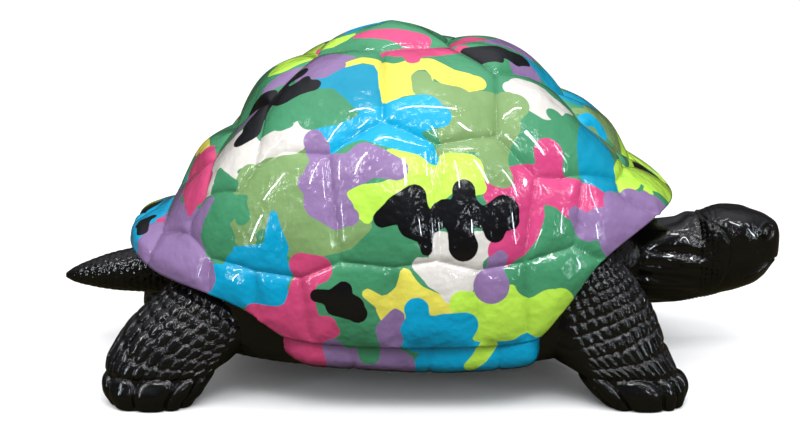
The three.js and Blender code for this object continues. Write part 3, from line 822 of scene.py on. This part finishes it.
# relief of a brick lattice with jittered centres: each point looks at the nine cells round it for
# the two nearest centres, and a scale is a low dome that drops to a groove where those two are
# equally far. A cell's jitter is the fraction of a large multiple of the sine of its label
def scaleRelief(grid, row, columns, jitter, stagger=0.5):
    column = aroundShare(grid) * columns
    nearest = np.full(row.shape, np.inf)
    second = np.full(row.shape, np.inf)
    for stepRow in (-1, 0, 1):
        cellRow = np.floor(row) + stepRow
        shift = stagger * np.mod(cellRow, 2)
        for stepColumn in (-1, 0, 1):
            cellColumn = np.floor(column - shift) + stepColumn
            label = cellRow * scaleShape["rowLabel"]
            label = label + np.mod(cellColumn, columns) * scaleShape["columnLabel"]
            nextLabel = label + scaleShape["nextLabel"]
            jumpRow = np.mod(np.sin(label) * scaleShape["rowScatter"], 1) - 0.5
            jumpColumn = np.mod(np.sin(nextLabel) * scaleShape["columnScatter"], 1) - 0.5
            offRow = row - cellRow - 0.5 - jitter * jumpRow
            offColumn = column - cellColumn - 0.5 - shift - jitter * jumpColumn
            distance = np.hypot(offRow, offColumn)
            second = np.minimum(second, np.maximum(nearest, distance))
            nearest = np.minimum(nearest, distance)
    raised = smoothStep(second - nearest, 0, scaleShape["groove"])
    return raised * (1 - scaleShape["fall"] * nearest ** 2) - scaleShape["level"]


# a black piece in metres: its grid raised by the relief, nowhere below the floor, and closed at the
# middles of its end rings where no poles are given
def makeBlackPiece(name, grid, rise, firstPole=None, lastPole=None, side=1):
    grid = (grid + outwardOf(grid) * rise[..., None]) * np.array([1, side, 1]) * mm
    grid[..., 2] = np.maximum(grid[..., 2], 0)
    first = grid[0].mean(axis=0) if firstPole is None else np.array(firstPole) * mm
    last = grid[-1].mean(axis=0) if lastPole is None else np.array(lastPole) * mm
    finishPiece(meshFromGrid(name, grid, first, last), blackSkin)


legs = {
    "front": {
        # rings up from the sole: height, rearmost x, foremost x, inner y, outer y
        "stations": [
            (0, 298, 402, 184, 284), (3, 288, 409, 180, 289), (10, 280, 411, 178, 290),
            (24, 264, 415, 174, 291), (42, 247, 410, 170, 288), (56, 234, 401, 166, 284),
            (74, 205, 391, 160, 280), (106, 172, 379, 145, 272), (139, 160, 367, 130, 264),
            (170, 155, 349, 120, 256), (200, 150, 326, 110, 247), (232, 150, 295, 100, 236),
            (258, 165, 262, 110, 218),
        ],
        # rows of scales by height, how steeply they climb towards the front, the scales in a ring,
        # and the share of a scale by which every second row is moved over
        "scaleRows": [
            (0, 0), (50, 1), (70, 2), (90, 3), (109, 4), (127, 5), (144, 6), (160, 7),
            (205, 10.5), (280, 18),
        ],
        "climb": 0.3, "columns": 34, "stagger": 0.1,
        # the scales' bound: x at the sole, its change with height, and the side that has scales
        "bound": (301, -0.53, 1),
        "toeGrooves": [-50, -15, 18, 44, 67, 109, 142],  # degrees round the foot, a toe between two
    },
    "hind": {
        "stations": [
            (0, -480, -370, 184, 284), (3, -489, -364, 181, 288), (10, -493, -362, 180, 289),
            (24, -501, -349, 176, 290), (42, -503, -334, 172, 286), (70, -499, -306, 160, 279),
            (95, -487, -272, 146, 270), (115, -473, -248, 134, 262), (138, -448, -236, 122, 250),
            (160, -421, -232, 112, 236), (182, -392, -236, 108, 216), (198, -360, -250, 112, 196),
        ],
        "scaleRows": [(0, 0), (48, 1), (68, 2), (88, 3), (106, 4), (122, 5), (138, 6), (200, 10)],
        "climb": -0.4, "columns": 25, "stagger": 0.5,
        "bound": (-367, 0.66, -1),
        "toeGrooves": [8, 45, 72, 106, 150, 195],
    },
}

legSkin = {
    "rows": 150, "rowEase": 1.15, "around": 360, "squareness": 2.5,
    "scale": 4.4, "jitter": 0.22,
    # heights over which the rows start to climb, the scales begin, and the scales get lower
    "climbs": (40, 120), "begins": (44, 54), "lowers": (120, 220), "lowered": 0.4,
    "boundSpan": (-8, 10),  # mm past the bound over which the scales start
    "toeBulge": 11, "toeSink": 6, "toeMiddle": 18, "toeHalfHeight": 34,
    "toeSquareness": 2.6, "toeBluntness": 3,
    "noToe": 0.6,  # where there is no toe, the foot stands out as it does this far across one
    "toeFoot": (-2, 6), "toeTop": (44, 58),
    "foldDepth": 2.2, "foldLength": 0.06, "foldStretch": (1, 1, 2.2), "foldSeed": 5,
    "foldFoot": (6, 40), "foldLost": 0.7,  # share of the folds that is lost under scales
}


# scales in rows that climb to the front and get lower up the leg
def legScales(shape, grid, middle):
    x, z = grid[..., 0], grid[..., 2]
    height = z - shape["climb"] * (x - middle) * smoothStep(z, *legSkin["climbs"])
    row = smoothCurve(height, shape["scaleRows"])
    relief = scaleRelief(grid, row, shape["columns"], legSkin["jitter"], shape["stagger"])
    return legSkin["scale"] * relief * (1 - legSkin["lowered"] * smoothStep(z, *legSkin["lowers"]))


# rounded toes between the grooves: across and up, each falls off as a squared oval
def toeRelief(grooves, turn, z):
    angle = np.mod(np.degrees(turn) + 90, 360) - 90
    place = np.interp(angle, grooves, np.arange(len(grooves)))
    inToes = (place > 0) & (place < len(grooves) - 1)
    across = np.where(inToes, 2 * np.mod(place, 1) - 1, legSkin["noToe"])
    up = (z - legSkin["toeMiddle"]) / legSkin["toeHalfHeight"]
    left = 1 - np.abs(across) ** legSkin["toeSquareness"] - np.abs(up) ** legSkin["toeBluntness"]
    rise = legSkin["toeBulge"] * np.sqrt(np.clip(left, 0, 1)) - legSkin["toeSink"]
    return rise * riseAndFall(z, legSkin["toeFoot"], legSkin["toeTop"])


# an oval at each height, with scales on one side of a slanting bound, toes round the foot, and long
# soft folds, mostly where there are no scales
def makeLeg(name, shape, side):
    top = shape["stations"][-1][0]
    z = top * np.linspace(0, 1, legSkin["rows"])[:, None] ** legSkin["rowEase"]
    rear, fore, inner, outer = np.moveaxis(smoothTable(z[:, 0], shape["stations"]), 1, 0)[..., None]
    turn = fullTurn(legSkin["around"])
    along, across = squaredOval(turn, legSkin["squareness"])
    middle = (rear + fore) / 2
    x = middle + along * (fore - rear) / 2
    y = (inner + outer) / 2 + across * (outer - inner) / 2
    grid = np.stack([x, y, np.broadcast_to(z, x.shape)], -1)
    boundX, boundSlope, scaledSide = shape["bound"]
    inBound = smoothStep(scaledSide * (x - boundX - boundSlope * z), *legSkin["boundSpan"])
    scaled = inBound * smoothStep(z, *legSkin["begins"])
    stretched = grid * mm * np.array(legSkin["foldStretch"])
    folds = rolling(stretched, legSkin["foldLength"], legSkin["foldSeed"])
    folds *= legSkin["foldDepth"] * (1 - legSkin["foldLost"] * scaled) * smoothStep(z, *legSkin["foldFoot"])
    rise = legScales(shape, grid, middle) * scaled + toeRelief(shape["toeGrooves"], turn, z) + folds
    makeBlackPiece(name, grid, rise, side=side)


for end, shape in legs.items():
    makeLeg(end + "LegLeft", shape, 1)
    makeLeg(end + "LegRight", shape, -1)
print("legs made")


head = {
    "rows": 300, "rowEase": 1.7, "around": 300, "jawSquareness": 2.15, "noseTip": 1,
    # along, lowest, highest, half width, squareness of the upper half
    "stations": [
        (300, 100, 232, 60, 2.2), (384, 97, 237, 64, 2.2), (425, 97, 240, 62, 2.2),
        (448, 100, 247, 61, 2.2), (463, 103, 246, 59, 2.3), (469, 104, 249, 60, 2.4),
        (478, 105, 254, 61, 2.7), (508, 114, 262, 63, 3.2), (535, 121, 260, 61, 3.3),
        (558, 130, 254, 55, 3.1), (576, 142, 248, 46, 2.8), (590, 160, 240, 36, 2.5),
        (598, 174, 232, 26, 2.3), (602, 190, 222, 14, 2.2),
    ],
    "eye": (574, 227), "eyeRadius": 9, "eyeRise": 5,
    "eyeRings": [(1.12, 0.16, -2.4), (1.5, 0.25, 1.2)],  # a groove and a rim: eye radii out, width, rise
    "eyeSides": (0.35, 0.6),  # how far out from the middle the eyes begin, in half widths
    # the mouth's line, x and z
    "mouth": [(612, 172), (594, 176), (580, 174), (566, 165), (552, 159), (540, 150)],
    "mouthDepth": 6, "mouthWidth": 2.2,
    "mouthDeepens": (536, 556), "mouthLeast": 0.35,
    # a collar of small scales, but not under the throat
    "collar": ((446, 456), (488, 500)), "collarUp": (-0.75, -0.3), "collarColumns": 44,
    "collarRow": 8.5, "collarJitter": 0.35, "collarScale": 1.3,
    # folds across the throat, and the slant of each
    "throat": ((430, 450), (486, 500)), "throatDown": (0.55, 0.9), "throatDepth": 1.8,
    "throatFold": 7, "throatSlant": 0.9, "throatZ": 100,
    # wrinkles down the neck, and the head's slight unevenness ahead of them
    "neckEnd": (452, 485), "wrinkleStretch": (0.45, 1.2, 1.2),
    "wrinkle": (3.2, 0.035, 9), "uneven": (0.7, 0.04, 12),  # depth, length in metres, seed
    # where the neck's skin ends in a fold round the back of the head: height, x
    "fold": [(97, 478), (150, 500), (186, 509), (200, 510), (222, 503), (240, 486), (250, 462), (264, 440)],
    "foldHeight": 3.2, "foldSpan": ((-38, -3), (-2, 3)), "foldUp": (-0.8, -0.2),
    "foldGroove": (4, 3, 0.5),  # place ahead of the fold, width, depth as a share of its height
}


# distance from points (x, z) to a line through several places
def lineDistance(x, z, line):
    nearest = np.full(x.shape, np.inf)
    for (x0, z0), (x1, z1) in zip(line[:-1], line[1:]):
        runX, runZ = x1 - x0, z1 - z0
        share = np.clip(((x - x0) * runX + (z - z0) * runZ) / (runX ** 2 + runZ ** 2), 0, 1)
        nearest = np.minimum(nearest, np.hypot(x - x0 - share * runX, z - z0 - share * runZ))
    return nearest


# a bead for the eye on each side, inside a groove and a low rim
def eyeRelief(x, z, across):
    eyeX, eyeZ = head["eye"]
    out = np.hypot(x - eyeX, z - eyeZ) / head["eyeRadius"]
    rise = head["eyeRise"] * np.sqrt(np.clip(1 - out ** 2, 0, 1))
    for place, width, height in head["eyeRings"]:
        rise = rise + height * bell(out, place, width)
    return rise * smoothStep(np.abs(across), *head["eyeSides"])


# a slot along the mouth's line, deeper towards the nose
def mouthRelief(x, z):
    least = head["mouthLeast"]
    depth = head["mouthDepth"] * (least + (1 - least) * smoothStep(x, *head["mouthDeepens"]))
    return -depth * bell(lineDistance(x, z, head["mouth"]), 0, head["mouthWidth"])


# small scales round the collar, and a wave of folds across the throat
def collarRelief(grid, up):
    x, z = grid[..., 0], grid[..., 2]
    row = (x - head["collar"][0][0]) / head["collarRow"]
    scales = scaleRelief(grid, row, head["collarColumns"], head["collarJitter"])
    scales *= head["collarScale"] * riseAndFall(x, *head["collar"]) * smoothStep(up, *head["collarUp"])
    slanted = x + head["throatSlant"] * (z - head["throatZ"])
    wave = 0.5 + 0.5 * np.cos(slanted * 2 * math.pi / head["throatFold"])
    throat = smoothStep(-up, *head["throatDown"]) * riseAndFall(x, *head["throat"])
    return scales - head["throatDepth"] * throat * wave


# soft wrinkles down the neck, and the fold of skin round the back of the head with a groove ahead
def neckRelief(grid, up):
    x, z = grid[..., 0], grid[..., 2]
    neck = 1 - smoothStep(x, *head["neckEnd"])
    wrinkle, wrinkleLength, wrinkleSeed = head["wrinkle"]
    uneven, unevenLength, unevenSeed = head["uneven"]
    stretched = grid * mm * np.array(head["wrinkleStretch"])
    rise = wrinkle * rolling(stretched, wrinkleLength, wrinkleSeed) * neck
    rise = rise + uneven * rolling(grid * mm, unevenLength, unevenSeed) * (1 - neck)
    ahead = x - smoothCurve(z, head["fold"])
    groove, width, depth = head["foldGroove"]
    fold = riseAndFall(ahead, *head["foldSpan"]) - depth * bell(ahead, groove, width)
    return rise + head["foldHeight"] * fold * smoothStep(up, *head["foldUp"])


# head and neck: an oval carried along x, squarer on top
def makeHead():
    first, last = head["stations"][0][0], head["stations"][-1][0]
    ease = 1 - (1 - np.linspace(0, 1, head["rows"])) ** head["rowEase"]
    x = first + (last - first) * ease
    low, high, halfWidth, topSquare = smoothTable(x, head["stations"]).T[..., None]
    turn = fullTurn(head["around"])[None]
    across, up = squaredOval(turn, np.where(np.sin(turn) > 0, topSquare, head["jawSquareness"]))
    y = across * halfWidth
    z = (low + high) / 2 + up * (high - low) / 2
    x = np.broadcast_to(x[:, None], y.shape)
    grid = np.stack([x, y, z], -1)
    rise = eyeRelief(x, z, across) + mouthRelief(x, z) + collarRelief(grid, up) + neckRelief(grid, up)
    nose = (last + head["noseTip"], 0, float((low[-1, 0] + high[-1, 0]) / 2))
    makeBlackPiece("headAndNeck", grid, rise, lastPole=nose)


tail = {
    "rows": 110, "around": 110,
    # along, middle height, radius
    "stations": [
        (-380, 156, 45), (-440, 154, 42), (-480, 152, 38), (-519, 149, 32.5), (-564, 145, 21),
        (-590, 142.5, 11.5), (-602, 141.5, 4),
    ],
    "columns": 16, "scaleLength": 11, "jitter": 0.3, "relief": 1.2,
    "scaledRadius": (6, 20),  # radii over which the scales grow to their full height
}


# a round taper along x with rings of small scales
def makeTail():
    stations = tail["stations"][::-1]
    x = np.linspace(stations[0][0], stations[-1][0], tail["rows"])
    middle, radius = smoothTable(x, stations).T[..., None]
    turn = fullTurn(tail["around"])[None]
    y, z = radius * np.cos(turn), middle + radius * np.sin(turn)
    x = np.broadcast_to(x[:, None], y.shape)
    grid = np.stack([x, y, z], -1)
    scales = scaleRelief(grid, -x / tail["scaleLength"], tail["columns"], tail["jitter"])
    rise = tail["relief"] * scales * smoothStep(radius, *tail["scaledRadius"])
    makeBlackPiece("tail", grid, rise, firstPole=(stations[0][0], 0, stations[0][1]))


# the body inside the shell
body = {
    "middleX": -20, "frontReach": 385, "rearReach": 405, "halfWidth": 305, "squareness": 2.35,
    "middleZ": 150, "halfHeight": 92, "sideSquareness": 6, "rows": 130, "around": 330,
    "columns": 110, "rowsOfScales": 46, "jitter": 0.4, "relief": 1.6,
}


# a plan like the rim's but smaller, drawn in towards top and bottom as a squarer oval, with small
# scales all over
def makeBody():
    down = np.linspace(0, math.pi, body["rows"] + 2)[1:-1, None]
    up, out = squaredOval(down, body["sideSquareness"])
    along, across = squaredOval(fullTurn(body["around"])[None], body["squareness"])
    reach = np.where(along > 0, body["frontReach"], body["rearReach"])
    x = body["middleX"] + along * reach * out
    z = body["middleZ"] + np.broadcast_to(up, x.shape) * body["halfHeight"]
    grid = np.stack([x, across * body["halfWidth"] * out, z], -1)
    row = np.broadcast_to(down / math.pi * body["rowsOfScales"], x.shape)
    scales = scaleRelief(grid, row, body["columns"], body["jitter"])
    poles = [(body["middleX"], 0, body["middleZ"] + end * body["halfHeight"]) for end in (1, -1)]
    makeBlackPiece("bodySkin", grid, body["relief"] * scales, *poles)


makeHead()
makeTail()
makeBody()
print("head, tail and body made")
